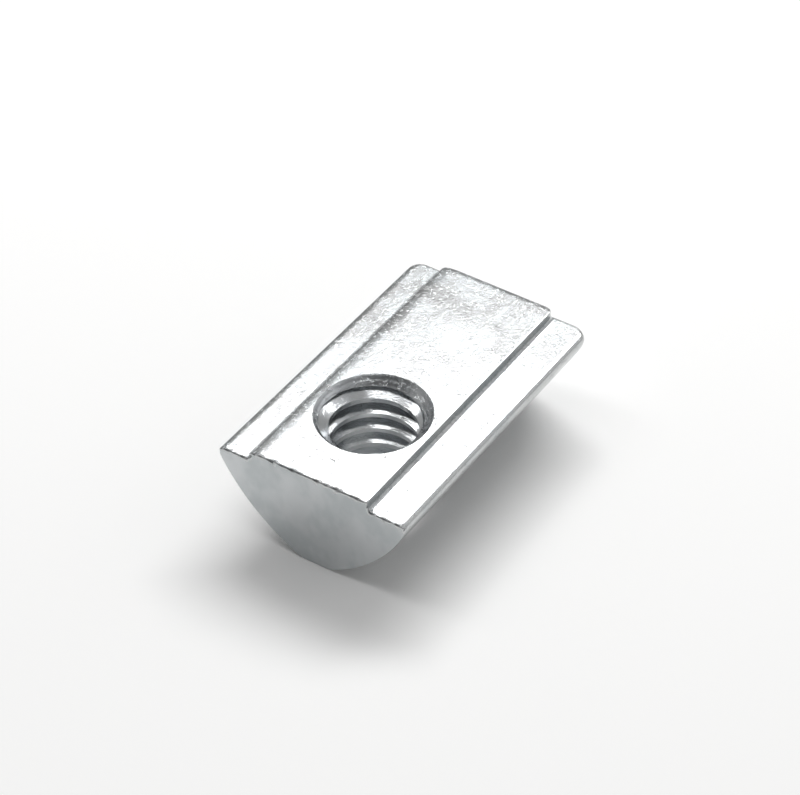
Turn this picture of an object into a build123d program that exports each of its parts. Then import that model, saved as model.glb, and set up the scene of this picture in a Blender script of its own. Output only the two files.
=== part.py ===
from build123d import *
import os

# Slide-in T-slot nut: a short length of steel bar with a low tongue that stands
# up into a 10 mm slot, two shoulders that bear against the inside of the slot's
# lips, and a rounded belly that lies in the slot's chamber. It has one tapped
# hole, near its plain end, with a countersunk mouth.
# Millimetres. X is across the slot, Y is along it, and +Z points up out of it.
# The origin is in the middle of the belly, under the middle of the bar's length.

# The bar
LENGTH = 24.5
WIDTH = 15.5               # across the lands at the sides of the shoulders
HEIGHT = 8.2               # from the belly's flat to the top of the tongue
TONGUE_WIDTH = 9.8         # 0.2 mm under the slot's nominal width
TONGUE_STEP = 0.8          # from the shoulders up to the top of the tongue
LAND_HEIGHT = 0.5          # the upright side of each shoulder
BELLY_WIDTH = 2.4          # across the belly's flat, before its corners are blended
FLANK_RADIUS = 14.0        # the shallow curve from a land down to the belly

# Its blends and rounded edges
FOOT_RADIUS = 0.4          # in the inner corner between tongue and shoulder
BELLY_RADIUS = 1.5         # between the belly's flat and a flank
LAND_RADIUS = 1.5          # between a flank and its land
EDGE_RADIUS = 0.35         # on the edges of the tongue and the shoulders
ROLL_RADIUS = 1.2          # round the end that is rolled over, below the shoulders

# The tapped hole, 5/16-18 UNC, bored to the thread's minor diameter
HOLE_FROM_PLAIN_END = 7.75
BORE_DIAMETER = 6.45
MOUTH_DIAMETER = 8.5
MOUTH_ANGLE = 90.0

# Places that follow from the sizes
shoulder_z = HEIGHT - TONGUE_STEP
land_z = shoulder_z - LAND_HEIGHT
plain_end_y = -LENGTH / 2
rolled_end_y = LENGTH / 2
belly_corner = (BELLY_WIDTH / 2, 0)
land_corner = (WIDTH / 2, land_z)
shoulder_corner = (WIDTH / 2, shoulder_z)
foot_corner = (TONGUE_WIDTH / 2, shoulder_z)
tongue_corner = (TONGUE_WIDTH / 2, HEIGHT)


def blend(sketch, corner, radius):
    """Rounds the one corner of the section that lies at the given point."""
    across, up = corner
    fillet(sketch.vertices().sort_by_distance((across, up, 0))[0], radius)


with BuildPart() as nut_body:
    # The bar's section, drawn as its right half at the rolled end
    with BuildSketch(Plane.XZ.offset(-rolled_end_y)) as section:
        with BuildLine():
            Line((0, 0), belly_corner)
            RadiusArc(belly_corner, land_corner, -FLANK_RADIUS)
            Polyline(land_corner, shoulder_corner, foot_corner, tongue_corner, (0, HEIGHT), (0, 0))
        make_face()
        blend(section, belly_corner, BELLY_RADIUS)
        blend(section, land_corner, LAND_RADIUS)
        blend(section, foot_corner, FOOT_RADIUS)
        mirror(about=Plane.YZ)
    extrude(amount=LENGTH)

    # The rolled end: picked at the belly, the rounding runs on up to both shoulders
    rolled_end = nut_body.faces().sort_by(Axis.Y)[-1]
    fillet(rolled_end.edges().sort_by(Axis.Z)[0], ROLL_RADIUS)

    # The tongue's top edges, all but the one at the plain end, which stays sharp,
    # and the shoulders' outer edges, which run on round the rolled end to the tongue
    *_, shoulders, tongue_top = nut_body.faces().filter_by(Axis.Z).group_by(Axis.Z)
    tongue_edges = tongue_top.edges().sort_by(Axis.Y)[1:]
    along_shoulders = shoulders.edges().filter_by(Axis.Y).group_by(Axis.X)
    fillet(tongue_edges + along_shoulders[0] + along_shoulders[-1], EDGE_RADIUS)

    with Locations((0, plain_end_y + HOLE_FROM_PLAIN_END, HEIGHT)):
        CounterSinkHole(BORE_DIAMETER / 2, MOUTH_DIAMETER / 2, counter_sink_angle=MOUTH_ANGLE)
nut_body.part.label = "nut_body"

os.makedirs("parts", exist_ok=True)
export_step(nut_body.part, "parts/nut_body.step")
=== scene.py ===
import math

import bmesh
import bpy
import numpy as np
from mathutils import Euler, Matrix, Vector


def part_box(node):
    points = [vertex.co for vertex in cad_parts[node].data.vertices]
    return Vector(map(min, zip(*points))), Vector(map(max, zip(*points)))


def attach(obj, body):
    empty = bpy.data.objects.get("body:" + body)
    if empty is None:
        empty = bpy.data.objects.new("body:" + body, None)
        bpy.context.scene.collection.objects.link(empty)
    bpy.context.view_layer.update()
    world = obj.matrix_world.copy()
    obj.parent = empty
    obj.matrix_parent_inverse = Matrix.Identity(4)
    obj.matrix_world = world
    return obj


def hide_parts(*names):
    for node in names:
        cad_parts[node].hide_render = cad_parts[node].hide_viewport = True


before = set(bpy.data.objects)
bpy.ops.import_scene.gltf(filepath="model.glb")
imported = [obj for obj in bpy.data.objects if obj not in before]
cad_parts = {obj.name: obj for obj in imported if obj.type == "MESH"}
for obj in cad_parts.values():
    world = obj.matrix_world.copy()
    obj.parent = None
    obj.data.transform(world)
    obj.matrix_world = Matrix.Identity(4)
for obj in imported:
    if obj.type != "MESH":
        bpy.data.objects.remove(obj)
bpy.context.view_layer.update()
low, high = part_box("nut_body")

# ---------------------------------------------------------------- sizes, in metres

MM = 0.001
PLAIN_END = low.y
ROLLED_END = high.y
TOP = high.z                                   # the tongue's top face
HALF_TONGUE = 4.9 * MM
SHOULDER = TOP - 0.8 * MM
HALF_WIDTH = 7.75 * MM                         # to the lands, before their edges are rounded
LAND_BLEND = 1.5 * MM
FLANK = 14.0 * MM
BELLY_BLEND = 1.5 * MM
BELLY_CORNER = (1.2 * MM, 0.0)
LAND_CORNER = (HALF_WIDTH, SHOULDER - 0.6 * MM)

HOLE_Y = PLAIN_END + 7.75 * MM
MOUTH = 4.25 * MM                              # radius of the countersink at the tongue's top
CREST = 3.225 * MM                             # the thread's minor radius
ROOT = 3.97 * MM                               # the thread's major radius
PITCH = 25.4 / 18 * MM
CREST_FLAT = 0.26 * PITCH
FLANK_RISE = (ROOT - CREST) * math.tan(math.radians(30))
ROOT_FLAT = PITCH - CREST_FLAT - 2 * FLANK_RISE
FIRST_CREST = TOP - 2.29 * MM                  # lower edge of the first whole crest, on the +X side

BLOCK = 4.6 * MM                               # half the square that the patch round the hole fills

# mesh cells: over an eighth of the hole, then along the rest of the upper half section
STEPS = 22
EDGE_CELLS = 8
SIDE_CELLS = 3
FOOT_CELLS = 7
SHOULDER_CELLS = 17
RIM_CELLS = 11
EDGE_END = STEPS + EDGE_CELLS                  # the upper chain's last point on the tongue's edge,
FOOT_END = EDGE_END + SIDE_CELLS + FOOT_CELLS  # on the foot arc
RIM_START = FOOT_END + SHOULDER_CELLS          # and on the shoulder's flat
CHAIN = RIM_START + RIM_CELLS + 1              # points in each chain of a half section
RIGHT_RIM = CHAIN - 1                          # points of the closed outline: the right rim's foot,
BELLY_MIDDLE = 2 * CHAIN - 2                   # the middle of the belly
LEFT_RIM = 3 * CHAIN - 3                       # and the left rim's foot
PATCH_CELLS = 4                                # cells between the hole and its square

DRAWN, CROPPED, TAPPED, SUNK = 0, 1, 2, 3      # the finishes of the one plated piece
SHARP = math.radians(32)                       # edges bent by more than this are shaded as sharp


def grid_of(x, y, z):
    """A grid of points from its three coordinates, each repeated over the whole grid where it is one
    row or one column."""
    return np.stack(np.broadcast_arrays(x, y, z), axis=-1)


def linked(name, data):
    """An object of the scene for a mesh, a lamp or a camera."""
    made = bpy.data.objects.new(name, data)
    bpy.context.scene.collection.objects.link(made)
    return made


# ---------------------------------------------------------------- the bar's section

def arc(centre, radius, first, last, count):
    """Points on a circle's arc: centre plus radius times (cos a, sin a), where a runs evenly from first
    to last."""
    angle = np.linspace(first, last, count)
    return np.stack([centre[0] + radius * np.cos(angle), centre[1] + radius * np.sin(angle)], axis=1)


def run(start, end, count):
    """Points on a straight line: start times (1 minus t) plus end times t, where t runs evenly from 0
    to 1."""
    t = np.linspace(0.0, 1.0, count)[:, None]
    return np.asarray(start) * (1 - t) + np.asarray(end) * t


def flank_centre():
    """Centre of the flank's circle: from the chord's middle, square to the chord, by the height of the
    isosceles triangle whose equal sides are the flank's radius."""
    a = np.array(BELLY_CORNER)
    b = np.array(LAND_CORNER)
    chord = b - a
    length = np.hypot(*chord)
    inward = np.array([-chord[1], chord[0]]) / length
    return (a + b) / 2 + inward * math.sqrt(FLANK ** 2 - (length / 2) ** 2)


FLANK_CENTRE = flank_centre()
CURVE_POINTS = 60                              # points on a short arc before the mesh is read off it
FLANK_POINTS = 400                             # and on the long arc of the flank


def spread(points, share):
    """Points at the given shares of a line's whole length, read off by linear interpolation."""
    along = np.r_[0.0, np.cumsum(np.hypot(*np.diff(points, axis=0).T))]
    return np.stack([np.interp(share * along[-1], along, points[:, i]) for i in (0, 1)], axis=1)


def columns(points, half):
    """The line's points at the mesh columns over half of the hole's square: half times the tangent of
    an evenly growing angle, with the height read off the line, and the line that is left beyond them."""
    across = half * np.tan(np.linspace(0, math.pi / 4, STEPS + 1))
    first = np.stack([across, np.interp(across, points[:, 0], points[:, 1])], axis=1)
    beyond = np.concatenate([first[-1:], points[points[:, 0] > half]])
    return first, beyond


def rounded(corner, across, down, count):
    """A quarter ellipse that rounds a corner: from straight above its end, across by the sine and down
    by one minus the cosine of an angle that runs evenly over a quarter turn."""
    turn = np.linspace(0, math.pi / 2, count)
    x = corner[0] - across * (1 - np.sin(turn))
    z = corner[1] - down * (1 - np.cos(turn))
    return np.stack([x, z], axis=1)


def half_section(form):
    """The right half of the bar's section as two chains of matching points that meet at the shoulder's
    rim. The upper one runs from the tongue's middle: flat, edge, side, foot arc, shoulder, rim; edge
    and rim are quarter ellipses. The lower one runs from the belly's middle: flat, blend arc, flank arc
    and, where the form has one, the land's blend arc, whose centre lies where its circle touches the
    flank and the full width."""
    quarter = math.pi / 2
    top, side, foot, shoulder = form["top"], form["side"], form["foot"], form["shoulder"]
    land_round, flank, belly, blend = form["land"], form["flank"], form["belly"], form["belly_blend"]
    edge_in, edge_down = form["edge"]
    rim_in, rim_down = form["rim"]
    cx, cz = FLANK_CENTRE

    rim_z = shoulder - rim_down
    if land_round:
        land_x = form["width"] - land_round
        land_z = cz - math.sqrt((flank - land_round) ** 2 - (land_x - cx) ** 2)
        land_end = math.asin((rim_z - land_z) / land_round)
        rim_x = land_x + land_round * math.cos(land_end)
        flank_end = math.atan2(land_z - cz, land_x - cx)
        land = arc((land_x, land_z), land_round, flank_end, land_end, CURVE_POINTS // 2)[1:]
    else:
        flank_end = math.asin((rim_z - cz) / flank)
        rim_x = cx + flank * math.cos(flank_end)
        land = np.empty((0, 2))

    edge = rounded((side, top), edge_in, edge_down, CURVE_POINTS)
    first, edge_rest = columns(np.concatenate([[(0.0, top)], edge]), form["block"])
    edge_rest = spread(edge_rest, np.linspace(0, 1, EDGE_CELLS + 1)[1:])
    tongue_side = run((side, top - edge_down), (side, shoulder + foot), SIDE_CELLS + 1)[1:]
    foot_centre = (side + foot, shoulder + foot)
    foot_arc = arc(foot_centre, foot, 2 * quarter, 3 * quarter, FOOT_CELLS + 1)[1:]
    shoulder_end = (rim_x - rim_in, shoulder)
    shoulder_flat = run((side + foot, shoulder), shoulder_end, SHOULDER_CELLS + 1)[1:]
    rim = rounded((rim_x, shoulder), rim_in, rim_down, RIM_CELLS + 1)[1:]
    upper = np.concatenate([first, edge_rest, tongue_side, foot_arc, shoulder_flat, rim])

    blend_z = belly + blend
    blend_x = cx + math.sqrt((flank - blend) ** 2 - (blend_z - cz) ** 2)
    blend_end = math.atan2(blend_z - cz, blend_x - cx)
    below = np.concatenate([
        run((0, belly), (blend_x, belly), 20),
        arc((blend_x, blend_z), blend, -quarter, blend_end, CURVE_POINTS)[1:],
        arc((cx, cz), flank, blend_end, flank_end, FLANK_POINTS)[1:],
        land,
    ])
    under, rest = columns(below, form["block"])
    lower = np.concatenate([under, spread(rest, np.linspace(0, 1, len(upper) - STEPS)[1:])])
    return upper, lower


def less(form, **cuts):
    """The same form with some of its lengths cut by the given amounts, in millimetres."""
    return dict(form, **{name: form[name] - cut * MM for name, cut in cuts.items()})


# The two halves of the drawn section. Edge and rim are how far their rounding reaches across and down.
RIGHT = dict(top=TOP, side=HALF_TONGUE - 0.18 * MM, edge=(0.1 * MM, 0.08 * MM), foot=0.34 * MM,
             shoulder=SHOULDER, rim=(0.45 * MM, 0.45 * MM), width=HALF_WIDTH - 0.02 * MM,
             land=LAND_BLEND, flank=FLANK, belly=0.0, belly_blend=BELLY_BLEND, block=BLOCK)
LEFT = dict(RIGHT, side=HALF_TONGUE, edge=(0.95 * MM, 0.14 * MM), foot=0.55 * MM,
            rim=(0.58 * MM, 0.2 * MM), land=0.7 * MM)
# The same at the cropped end's face, inside its broken edge.
CROPPING = dict(top=0.3, side=0.1, shoulder=0.28, width=0.06, flank=0.06, belly=-0.05, belly_blend=0.05,
                block=0.3)
RIGHT_NEAR = dict(less(RIGHT, foot=-0.1, **CROPPING), edge=(0.18 * MM, 0.15 * MM))
LEFT_NEAR = less(LEFT, **CROPPING)
# The same at the face of the rolled end, where each side has drawn in by its own roll.
ROLLING = dict(top=0.14, belly=-1.2, belly_blend=1.0, block=0.9)
RIGHT_FAR = dict(less(RIGHT, side=0.6, shoulder=0.06, flank=0.9, **ROLLING),
                 edge=(0.1 * MM, 0.08 * MM), rim=(0.5 * MM, 0.4 * MM), land=None)
LEFT_FAR = dict(less(LEFT, side=0.5, shoulder=0.05, flank=0.95, **ROLLING),
                edge=(0.8 * MM, 0.12 * MM), rim=(0.35 * MM, 0.15 * MM), land=None)


def mirrored(chain):
    """The same chain on the other side: x becomes minus x."""
    return chain * np.array([-1.0, 1.0])


def around(right, left):
    """The closed outline of a section from the tongue's middle: out along the right upper chain, back
    along the right lower one to the belly's middle, out along the left lower one and back along the
    left upper one."""
    upper_right, lower_right = right
    upper_left, lower_left = (mirrored(chain) for chain in left)
    return np.concatenate([upper_right, lower_right[-2::-1], lower_left[1:], upper_left[-2:0:-1]])


outline = around(half_section(RIGHT), half_section(LEFT))
near_outline = around(half_section(RIGHT_NEAR), half_section(LEFT_NEAR))
far_outline = around(half_section(RIGHT_FAR), half_section(LEFT_FAR))
COUNT = len(outline)


# ---------------------------------------------------------------- the skin along the bar

def along_outline(places, right, left):
    """A length for every point of the outline, in millimetres: straight interpolation between the
    values given at some places of the right chains and at the same places of the left ones."""
    at_right = np.interp(np.arange(BELLY_MIDDLE + 1), places, right)
    at_left = np.interp(np.arange(BELLY_MIDDLE + 1), places, left)
    return np.concatenate([at_right, at_left[-2:0:-1]]) * MM


EDGE_ROWS = 7                                  # mesh rows over the cropped end's broken edge,
LEAD_ROWS = 4                                  # from the straight bar to the roll
ROLL_ROWS = 24                                 # and over the roll
BREAK_DEPTH = 0.25 * MM                        # how far along the bar the breaking mostly reaches
STRAIGHT_END = ROLLED_END - 2.2 * MM
ROLL_REACH = 1.45 * MM                         # how far before the rolled end its roll begins
SKEW = math.tan(math.radians(1.5))             # the rolled end isn't quite square to the bar
# how deep the roll is, in millimetres, at the tongue's middle and edge, the foot arc, the shoulder's
# end, the rim's foot and the belly's middle, first on the right and then on the left
ROLL_PLACES = [0, EDGE_END, FOOT_END, RIM_START, CHAIN, BELLY_MIDDLE]
ROLL_SIDEWAYS = ([0.7, 0.7, 0.7, 0.85, 0.9, 1.3], [0.5, 0.5, 0.5, 0.85, 0.9, 1.3])
ROLL_IN_HEIGHT = ([0.48, 0.48, 0.2, 0.15, 1.3, 1.3], [0.48, 0.48, 0.22, 0.2, 1.0, 1.3])
# nicks of the tongue's top edge: place in millimetres, share of the breaking added, width in millimetres
NICKS = ((-3.2, 0.4, 0.2), (-1.4, 0.8, 0.3), (0.6, 0.5, 0.12), (2.3, 0.8, 0.2), (3.6, 0.5, 0.1))

block_rows = HOLE_Y + BLOCK * np.tan(np.linspace(-math.pi / 4, math.pi / 4, 2 * STEPS + 1))
before = np.linspace(PLAIN_END + 2 * BREAK_DEPTH, block_rows[0], 20)[:-1]
after = np.linspace(block_rows[-1], STRAIGHT_END, 50)[1:]
rows = np.concatenate([before, block_rows, after])
FIRST_ROW = EDGE_ROWS + len(before)            # the skin's first and last row of the hole's square
LAST_ROW = FIRST_ROW + 2 * STEPS


def ripple(t, seed, waves=9, finest=1.0):
    """A wandering value of about minus one to one along t: the sum of sines whose periods shrink from
    nine times the finest down to it, each with a phase drawn from the seed."""
    draw = np.random.default_rng(seed)
    phase = draw.uniform(0, 2 * math.pi, waves)
    period = np.linspace(9.0, 1.0, waves) * finest
    return np.sin(2 * math.pi * t[..., None] / period + phase).sum(axis=-1) / math.sqrt(waves)


def breaking():
    """How much of the cropped end's breaking there is at each point of the outline: all of it below, a
    ragged share on the upper chains and more in a few nicks of the tongue's top edge, each a bell curve
    over x."""
    along = np.r_[0.0, np.cumsum(np.hypot(*np.diff(outline, axis=0).T))]
    x = outline[:, 0]
    ragged = np.clip(0.7 + 0.3 * ripple(along, 4, finest=0.18 * MM), 0.2, None)
    for place, extra, width in NICKS:
        ragged += extra * np.exp(-((x - place * MM) / (width * MM)) ** 2)
    share = np.ones(COUNT)
    share[:CHAIN] = ragged[:CHAIN]
    share[LEFT_RIM:] = ragged[LEFT_RIM:]
    return share


def closing(distance, depth):
    """How far a rounded end has closed in at a distance before it, from nought to one: one minus the
    cosine of the angle whose sine is one minus the distance over the rounding's depth."""
    sine = np.clip(1 - distance / depth, 0, 1)
    return 1 - np.sqrt(1 - sine ** 2)


def rolled_end(x):
    """Where the rolled end's plane lies along the bar at x."""
    return ROLLED_END - SKEW * (x + HALF_WIDTH)


def skin():
    """The bar's skin as a grid (along, around). At the plain end a broken quarter round opens from the
    near outline to the full one. The outline is then carried along y, and closes to the far outline at
    the rolled end, sideways over one depth and in height over another."""
    x, z = outline.T
    share = breaking()
    angle = np.linspace(0, math.pi / 2, EDGE_ROWS + 1)[:-1, None]
    inset = (near_outline - outline) * (share * (1 - np.sin(angle)))[..., None]
    edge_y = PLAIN_END + BREAK_DEPTH * share * (1 - np.cos(angle))
    edge = grid_of(x + inset[..., 0], edge_y, z + inset[..., 1])

    straight = grid_of(x, rows[:, None], z)
    reach = np.linspace(0, 1, LEAD_ROWS + 1)[1:, None]
    lead = grid_of(x, STRAIGHT_END + (rolled_end(x) - ROLL_REACH - STRAIGHT_END) * reach, z)

    sideways = along_outline(ROLL_PLACES, *ROLL_SIDEWAYS)
    in_height = along_outline(ROLL_PLACES, *ROLL_IN_HEIGHT)
    distance = ROLL_REACH * (1 - np.sin(np.linspace(0, math.pi / 2, ROLL_ROWS + 1)[1:, None]))
    drawn_in = far_outline - outline
    rolled_x = x + drawn_in[:, 0] * closing(distance, sideways)
    rolled_z = z + drawn_in[:, 1] * closing(distance, in_height)
    rolled = grid_of(rolled_x, rolled_end(rolled_x) - distance, rolled_z)
    return np.concatenate([edge, straight, lead, rolled])


# ---------------------------------------------------------------- the hole

def belly_height(x):
    """Height of the belly and flanks at x, read off the outline's lower chains."""
    lower = outline[RIGHT_RIM:LEFT_RIM + 1]
    order = np.argsort(lower[:, 0])
    return np.interp(x, lower[order, 0], lower[order, 1])


def tongue_height(x):
    """Height of the tongue's top and its rounded edges at x, read off the outline's upper chains."""
    upper = np.concatenate([outline[-EDGE_END:], outline[:EDGE_END + 1]])
    return np.interp(x, upper[:, 0], upper[:, 1])


def thread_radius(z, turn):
    """Radius of the tapped wall at height z after the given share of a turn. Height less pitch times
    turn, taken modulo the pitch, runs over a flat crest, a 30 degree flank out, a flat root and a 30
    degree flank back in."""
    t = np.mod(z - PITCH * turn - FIRST_CREST, PITCH)
    marks = np.cumsum([0, CREST_FLAT, FLANK_RISE, ROOT_FLAT, FLANK_RISE])
    return np.interp(t, marks, [CREST, CREST, ROOT, ROOT, CREST])


def wall_radius(z, turn):
    """The tapped wall or the 90 degree countersink, whichever has cut deeper."""
    return np.maximum(thread_radius(z, turn), MOUTH - (TOP - z))


turns = np.linspace(0, 1, 8 * STEPS + 1)       # round the hole from +X by way of +Y


def exit_radius():
    """Where the thread leaves through the curved belly: the widest radius at which the wall's own
    radius, at the belly's height there, is still as large as that radius."""
    margin = 0.02 * MM
    tries = np.linspace(CREST - margin, ROOT + margin, 400)[:, None]
    angle = 2 * math.pi * turns
    cut = thread_radius(belly_height(tries * np.cos(angle)), turns) >= tries
    widest = len(tries) - 1 - np.argmax(cut[::-1], axis=0)
    found = tries[widest, 0]
    found[-1] = found[0]                       # a whole turn ends where it began
    return found


def mouth_radius():
    """Where the countersink breaks out of the tongue: its radius at the top less the drop of the
    surface there, worked towards by repeating that sum six times."""
    found = np.full(turns.shape, MOUTH)
    for _ in range(6):
        found = MOUTH - (TOP - tongue_height(found * np.cos(2 * math.pi * turns)))
    return found


def bore():
    """The hole's wall as a grid (down, round). Each row keeps one place on the thread's profile and
    climbs by a pitch a turn; where it would pass the mouth or the belly it is gathered onto that edge."""
    profile = np.unique(np.concatenate([
        np.linspace(0, CREST_FLAT, 6),
        np.linspace(CREST_FLAT, CREST_FLAT + FLANK_RISE, 8),
        np.linspace(CREST_FLAT + FLANK_RISE, PITCH - FLANK_RISE, 4),
        np.linspace(PITCH - FLANK_RISE, PITCH, 8)[:-1],
    ]).round(9))
    turns_below, turns_in_all = 6, 9
    start = FIRST_CREST - turns_below * PITCH
    levels = np.concatenate([start + k * PITCH + profile for k in range(turns_in_all)])[:, None]
    angle = 2 * math.pi * turns
    widest = exit_radius()
    bottom = belly_height(widest * np.cos(angle))
    mouth = mouth_radius()
    brim = tongue_height(mouth * np.cos(angle))
    z = np.clip(levels + PITCH * turns, bottom, brim)
    radius = wall_radius(z, turns)
    radius = np.where(z <= bottom, widest, np.where(z >= brim, mouth, radius))
    return grid_of(radius * np.cos(angle), HOLE_Y + radius * np.sin(angle), z)


def on_countersink(grid):
    """Marks the cells of the hole's wall that lie on the countersink's cone: those whose corners all
    have the cone's own radius."""
    radius = np.hypot(grid[..., 0], grid[..., 1] - HOLE_Y)
    on_cone = radius - (MOUTH - (TOP - grid[..., 2])) < 0.001 * MM
    return on_cone[:-1, :-1] & on_cone[:-1, 1:] & on_cone[1:, 1:] & on_cone[1:, :-1]


def patch(border, rim, height):
    """The ring between a square of the skin and the hole's rim, as a grid (outward, round): rim plus t
    times (border minus rim), with the height read from the surface it lies in."""
    t = np.linspace(0, 1, PATCH_CELLS + 1)[:, None, None]
    flat = rim * (1 - t) + border * t
    return grid_of(flat[..., 0], flat[..., 1], height(flat[..., 0]))


def square(columns_right, columns_left):
    """The square's border in the order of the turns: up the right side from its middle, back along the
    far side, down the left side, forward along the near side and up to the start."""
    middle = STEPS
    right_up = np.stack([np.full(STEPS + 1, columns_right[-1]), block_rows[middle:]], axis=1)
    far = np.concatenate([columns_right[::-1], columns_left[1:]])
    far_side = np.stack([far, np.full(len(far), block_rows[-1])], axis=1)
    left_down = np.stack([np.full(2 * STEPS + 1, columns_left[-1]), block_rows[::-1]], axis=1)
    near = far[::-1]
    near_side = np.stack([near, np.full(len(near), block_rows[0])], axis=1)
    right_back = np.stack([np.full(STEPS + 1, columns_right[-1]), block_rows[:middle + 1]], axis=1)
    return np.concatenate([right_up, far_side[1:], left_down[1:], near_side[1:], right_back[1:]])


# ---------------------------------------------------------------- joining the surfaces

def cells_between(index):
    """The four corners of every cell of a grid of point numbers, in their order round the cell."""
    return np.stack([index[:-1, :-1], index[:-1, 1:], index[1:, 1:], index[1:, :-1]], axis=-1)


class Shell:
    """Grids of points gathered into one closed mesh."""

    def __init__(self):
        self.points = []
        self.faces = []
        self.finish = []
        self.total = 0
        self.caps = []

    def add(self, grid, finish, keep=None, closed=False):
        """Adds a grid of points with a face in each of its cells, or in those that keep marks. A
        closed grid has its last column joined to its first."""
        down, wide = grid.shape[:2]
        index = np.arange(down * wide).reshape(down, wide) + self.total
        if closed:
            index = np.concatenate([index, index[:, :1]], axis=1)
        cells = cells_between(index)
        cells = cells.reshape(-1, 4) if keep is None else cells[keep]
        self.points.append(grid.reshape(-1, 3))
        self.faces.append(cells)
        self.finish.append(np.full(len(cells), finish))
        self.total += down * wide

    def cap(self, ring, finish):
        """Adds one flat face inside a ring of points."""
        self.points.append(ring)
        self.caps.append((list(range(self.total, self.total + len(ring))), finish))
        self.total += len(ring)

    def build(self, name, materials):
        """Merges the points that lie together and makes the mesh, with its faces turned outwards."""
        mesh = bpy.data.meshes.new(name)
        faces = np.concatenate(self.faces).tolist() + [corners for corners, _ in self.caps]
        mesh.from_pydata(np.concatenate(self.points).tolist(), [], faces)
        finish = np.concatenate([*self.finish, [finish for _, finish in self.caps]])
        mesh.polygons.foreach_set("material_index", finish.astype(np.int32))
        shell = bmesh.new()
        shell.from_mesh(mesh)
        together = 0.0002 * MM
        bmesh.ops.remove_doubles(shell, verts=shell.verts, dist=together)
        bmesh.ops.dissolve_degenerate(shell, edges=shell.edges, dist=together)
        unused = [point for point in shell.verts if not point.link_faces]
        bmesh.ops.delete(shell, geom=unused, context="VERTS")
        bmesh.ops.recalc_face_normals(shell, faces=shell.faces)
        shell.to_mesh(mesh)
        shell.free()
        for material in materials:
            mesh.materials.append(material)
        mesh.shade_smooth()
        mesh.set_sharp_from_angle(angle=SHARP)
        return linked(name, mesh)


def make_nut(materials):
    """The whole nut: skin, both end faces, the patches round the hole and the hole's wall."""
    shell = Shell()
    surface = skin()
    keep = np.ones((len(surface) - 1, COUNT), bool)
    in_block = slice(FIRST_ROW, LAST_ROW)
    keep[in_block, :STEPS] = False
    keep[in_block, COUNT - STEPS:] = False
    keep[in_block, BELLY_MIDDLE - STEPS:BELLY_MIDDLE + STEPS] = False
    shell.add(surface, DRAWN, keep, closed=True)
    shell.cap(surface[0], CROPPED)
    shell.cap(surface[-1], CROPPED)

    angle = 2 * math.pi * turns
    circle = np.stack([np.cos(angle), np.sin(angle)], axis=1)
    centre = np.array([0.0, HOLE_Y])
    outward = np.arange(STEPS + 1)
    above = square(outline[outward, 0], outline[-outward, 0])
    shell.add(patch(above, centre + mouth_radius()[:, None] * circle, tongue_height), DRAWN)
    below = square(outline[BELLY_MIDDLE - outward, 0], outline[BELLY_MIDDLE + outward, 0])
    shell.add(patch(below, centre + exit_radius()[:, None] * circle, belly_height), DRAWN)
    hole = bore()
    sunk = on_countersink(hole)
    shell.add(hole, TAPPED, ~sunk)
    shell.add(hole, SUNK, sunk)
    return shell.build("nut_steel", materials)


# ---------------------------------------------------------------- finishes

def put(tree, kind, sockets=None, **settings):
    """Places one shader node: settings are its own choices, sockets its inputs, each a value or another
    node's output."""
    node = tree.nodes.new(kind)
    for name, value in settings.items():
        setattr(node, name, value)
    for name, value in (sockets or {}).items():
        if isinstance(value, bpy.types.NodeSocket):
            tree.links.new(value, node.inputs[name])
        else:
            node.inputs[name].default_value = value
    return node


def math_node(tree, operation, first, second=0.0, third=0.0):
    """One sum of the Math node, and its output."""
    return put(tree, "ShaderNodeMath", {0: first, 1: second, 2: third}, operation=operation).outputs[0]


def ranged(tree, value, low_in, high_in, low_out, high_out):
    """A value carried from one range to another along a smooth step, and held at its ends."""
    node = put(tree, "ShaderNodeMapRange", {0: value, 1: low_in, 2: high_in, 3: low_out, 4: high_out},
               interpolation_type="SMOOTHSTEP")
    return node.outputs[0]


def new_group(name, inputs, outputs):
    """An empty shader group with its sockets."""
    group = bpy.data.node_groups.new(name, "ShaderNodeTree")
    for socket, kind, value in inputs:
        made = group.interface.new_socket(socket, in_out="INPUT", socket_type=kind)
        if kind == "NodeSocketFloat":
            made.default_value = value
    for socket, kind in outputs:
        group.interface.new_socket(socket, in_out="OUTPUT", socket_type=kind)
    start = group.nodes.new("NodeGroupInput")
    end = group.nodes.new("NodeGroupOutput")
    return group, start.outputs, end.inputs


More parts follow.
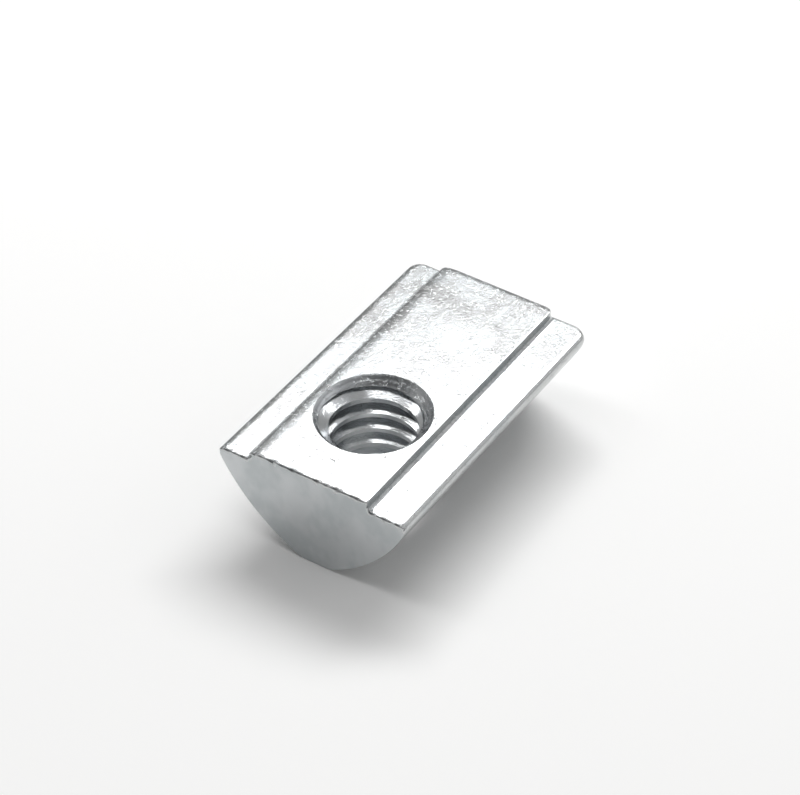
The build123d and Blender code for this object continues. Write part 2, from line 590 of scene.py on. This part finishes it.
def plated_grain():
    """The grain of the zinc plating, in three outputs. Height: orange peel, crystals on top of it and
    thin curled creases, which lie where a bent noise crosses its middle value. Crease: those lines
    alone. Cloud: slow patches, for tint and gloss."""
    group, given, out = new_group(
        "plated_grain",
        [("Place", "NodeSocketVector", None), ("Peel Size", "NodeSocketFloat", 0.45),
         ("Crystal Size", "NodeSocketFloat", 0.12), ("Crease Depth", "NodeSocketFloat", 0.5)],
        [("Height", "NodeSocketFloat"), ("Crease", "NodeSocketFloat"), ("Cloud", "NodeSocketFloat")])
    peel_scale = math_node(group, "DIVIDE", 1.0, given["Peel Size"])
    crystal_scale = math_node(group, "DIVIDE", 1.0, given["Crystal Size"])
    peel = put(group, "ShaderNodeTexNoise", {
        "Vector": given["Place"], "Scale": peel_scale, "Detail": 2.0, "Roughness": 0.5, "Distortion": 0.8})
    crystals = put(group, "ShaderNodeTexVoronoi", {
        "Vector": given["Place"], "Scale": crystal_scale, "Randomness": 1.0}, feature="SMOOTH_F1")
    bent = put(group, "ShaderNodeTexNoise", {
        "Vector": given["Place"], "Scale": math_node(group, "MULTIPLY", peel_scale, 0.45), "Detail": 3.0,
        "Roughness": 0.55, "Distortion": 2.4})
    off_middle = math_node(group, "ABSOLUTE", math_node(group, "SUBTRACT", bent.outputs[0], 0.5))
    line_width = 0.04
    line = ranged(group, off_middle, 0.0, line_width, 1.0, 0.0)
    broken = put(group, "ShaderNodeTexNoise", {
        "Vector": given["Place"], "Scale": math_node(group, "MULTIPLY", peel_scale, 0.7), "Detail": 1.0})
    crease = math_node(group, "MULTIPLY", line, ranged(group, broken.outputs[0], 0.48, 0.60, 0.0, 1.0))
    cloud = put(group, "ShaderNodeTexNoise", {
        "Vector": given["Place"], "Scale": 0.35, "Detail": 3.0, "Roughness": 0.6})
    height = math_node(group, "MULTIPLY_ADD", crystals.outputs[0], 0.12, peel.outputs[0])
    cut = math_node(group, "MULTIPLY", crease, given["Crease Depth"])
    height = math_node(group, "SUBTRACT", height, cut)
    patch_noise = put(group, "ShaderNodeTexNoise", {"Vector": given["Place"], "Scale": 0.8, "Detail": 3.0})
    strength = ranged(group, patch_noise.outputs[0], 0.42, 0.64, 0.75, 1.25)
    group.links.new(math_node(group, "MULTIPLY", height, strength), out["Height"])
    group.links.new(cut, out["Crease"])
    group.links.new(cloud.outputs[0], out["Cloud"])
    return group


def new_material(name):
    """A new material and its shader."""
    material = bpy.data.materials.new(name)
    material.use_nodes = True
    return material, material.node_tree.nodes["Principled BSDF"]


GRAIN = plated_grain()
GRAIN_START = (4.3, 2.1, 1.7)                  # where in the noise the nut lies, in millimetres
CREASE_PAINTED_SHADE = 0.2                           # share of the creases' depth that darkens the colour there, as painted shade
CREASE_SHADE_GREY = (0.5, 0.5, 0.5, 1)
FACTOR, FIRST_COLOUR, SECOND_COLOUR = 0, 6, 7  # inputs of the Mix node when it mixes colours,
MIXED_COLOUR = 2                               # and its output


def plated(name, colour, tint, gloss, grain, depth, stretch=(1, 1, 1), rings=0.0):
    """A plated finish: the colour drifts to its tint over the clouds and is darkened in the creases as
    painted shade, the roughness runs between the two values of gloss, and the grain stands up by the
    given depth in metres. Grain is the peel's size and the crystals' size, in millimetres, and the
    creases' depth beside a peel one high. Stretch scales the grain's coordinates, which are the
    object's own in millimetres. Rings are the height, beside that peel, of a turning tool's marks
    round the hole."""
    material, shader = new_material(name)
    tree = material.node_tree
    coordinates = put(tree, "ShaderNodeTexCoord")
    place = put(tree, "ShaderNodeMapping", {
        "Vector": coordinates.outputs["Object"], "Location": GRAIN_START,
        "Scale": [s / MM for s in stretch]})
    peel, crystal, crease = grain
    zinc = put(tree, "ShaderNodeGroup", {
        "Place": place.outputs[0], "Peel Size": peel, "Crystal Size": crystal, "Crease Depth": crease},
        node_tree=GRAIN)
    drift = ranged(tree, zinc.outputs["Cloud"], 0.38, 0.62, 0.0, 1.0)
    mixed = put(tree, "ShaderNodeMix", {
        FACTOR: drift, FIRST_COLOUR: (*colour, 1), SECOND_COLOUR: (*tint, 1)}, data_type="RGBA")
    # Painted shade: the colour is darkened in the creases, which are also cut into the bump's height as
    # real grooves.
    crease_shaded = put(tree, "ShaderNodeMix", {
        FACTOR: math_node(tree, "MULTIPLY", zinc.outputs["Crease"], CREASE_PAINTED_SHADE),
        FIRST_COLOUR: mixed.outputs[MIXED_COLOUR], SECOND_COLOUR: CREASE_SHADE_GREY},
        data_type="RGBA", blend_type="MULTIPLY")
    tree.links.new(crease_shaded.outputs[MIXED_COLOUR], shader.inputs["Base Color"])
    tree.links.new(ranged(tree, zinc.outputs["Cloud"], 0.35, 0.65, *gloss), shader.inputs["Roughness"])
    height = zinc.outputs["Height"]
    if rings:
        from_axis = put(tree, "ShaderNodeMapping", {
            "Vector": coordinates.outputs["Object"], "Location": (0, -HOLE_Y / MM, 0),
            "Scale": (1 / MM, 1 / MM, 1 / MM)})
        turned = put(tree, "ShaderNodeTexWave", {
            "Vector": from_axis.outputs[0], "Scale": 1.1, "Distortion": 1.6, "Detail": 3.0,
            "Detail Scale": 1.5}, wave_type="RINGS", rings_direction="Z")
        height = math_node(tree, "MULTIPLY_ADD", turned.outputs["Fac"], rings, height)
    bump = put(tree, "ShaderNodeBump", {"Height": height, "Distance": depth, "Strength": 1.0})
    tree.links.new(bump.outputs[0], shader.inputs["Normal"])
    shader.inputs["Metallic"].default_value = 1.0
    return material


finishes = [
    plated("zinc_drawn", colour=(0.57, 0.58, 0.582), tint=(0.52, 0.542, 0.55), gloss=(0.19, 0.25),
           grain=(0.26, 0.10, 2.0), depth=0.0042 * MM),
    plated("zinc_cropped", colour=(0.62, 0.64, 0.65), tint=(0.56, 0.59, 0.60), gloss=(0.46, 0.56),
           grain=(0.6, 0.16, 0.08), depth=0.014 * MM, stretch=(1, 1, 0.8)),
    # The tapped wall's colour is paler than the drawn skin's; part of that is painted light that lifts the
    # shade in the thread's grooves.
    plated("zinc_tapped_painted_light", colour=(0.80, 0.82, 0.83), tint=(0.70, 0.72, 0.74), gloss=(0.12, 0.22),
           grain=(0.5, 0.14, 0.3), depth=0.009 * MM, stretch=(0.6, 0.6, 3)),
    plated("zinc_countersunk", colour=(0.72, 0.74, 0.75), tint=(0.54, 0.56, 0.58), gloss=(0.20, 0.32),
           grain=(0.30, 0.10, 1.6), depth=0.022 * MM, rings=0.9),
]
nut = make_nut(finishes)
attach(nut, "root")
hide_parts("nut_body")


# ---------------------------------------------------------------- floor, light and camera

def make_floor():
    """A flat sheet 1.2 metres square: x and y over a square grid, z nought."""
    side = np.linspace(-0.6, 0.6, 9)
    grid = grid_of(side, side[:, None], 0.0)
    cells = cells_between(np.arange(side.size ** 2).reshape(side.size, side.size))
    mesh = bpy.data.meshes.new("floor")
    mesh.from_pydata(grid.reshape(-1, 3).tolist(), [], cells.reshape(-1, 4).tolist())
    material, shader = new_material("floor_white")
    shader.inputs["Base Color"].default_value = (0.985, 0.985, 0.98, 1)
    shader.inputs["Roughness"].default_value = 0.8
    mesh.materials.append(material)
    floor = linked("floor", mesh)


def make_soft_box(name, place, turn, width, depth, watts):
    """A soft box: a flat rectangular lamp that faces straight down, turned about the vertical."""
    data = bpy.data.lights.new(name, "AREA")
    data.shape = "RECTANGLE"
    data.size = width
    data.size_y = depth
    data.energy = watts
    lamp = linked(name, data)
    lamp.location = place
    lamp.rotation_euler = (0, 0, math.radians(turn))


TO_STAND = (0.0, -0.72, 0.69)                  # the way from the nut to where the camera stands
TO_SCREEN = (0.66, 0.62, 0.43)                 # and to the screen


def nearness(tree, direction, aim):
    """How near a direction points to an aim: the dot product of the two."""
    node = put(tree, "ShaderNodeVectorMath", {0: direction, 1: aim}, operation="DOT_PRODUCT")
    return node.outputs["Value"]


def make_studio():
    """The room round the table: paler overhead than at the horizon, darker on the side where the camera
    and its operator stand, and brighter on the right at the back, where a screen stands."""
    world = bpy.data.worlds.new("studio")
    world.use_nodes = True
    tree = world.node_tree
    background = tree.nodes["Background"]
    direction = put(tree, "ShaderNodeTexCoord").outputs["Generated"]
    up = put(tree, "ShaderNodeSeparateXYZ", {0: direction}).outputs[2]
    room = ranged(tree, up, 0.0, 0.9, 0.28, 0.34)
    stand = ranged(tree, nearness(tree, direction, TO_STAND), 0.70, 0.90, 1.0, 0.35)
    screen = ranged(tree, nearness(tree, direction, TO_SCREEN), 0.78, 0.97, 1.0, 2.2)
    strength = math_node(tree, "MULTIPLY", math_node(tree, "MULTIPLY", room, stand), screen)
    tree.links.new(strength, background.inputs["Strength"])
    background.inputs["Color"].default_value = (1, 1, 1, 1)
    bpy.context.scene.world = world


make_floor()
make_soft_box("window_box", place=(-0.0915, 0.4188, 0.50), turn=38, width=0.60, depth=0.22, watts=4.1)
make_soft_box("ceiling_box", place=(-0.165, -0.09, 0.50), turn=0, width=0.68, depth=0.10, watts=0.5)
make_studio()

camera_data = bpy.data.cameras.new("camera")
camera_data.sensor_width = 36
camera_data.lens = 113.57
camera_data.clip_start = 0.01
camera = linked("camera", camera_data)
camera.location = (0.07785, -0.11064, 0.12426)
camera.rotation_euler = Euler([math.radians(a) for a in (48.90, 1.86, 33.81)], "XYZ")
bpy.context.scene.camera = camera

bpy.context.scene.view_settings.view_transform = "Standard"
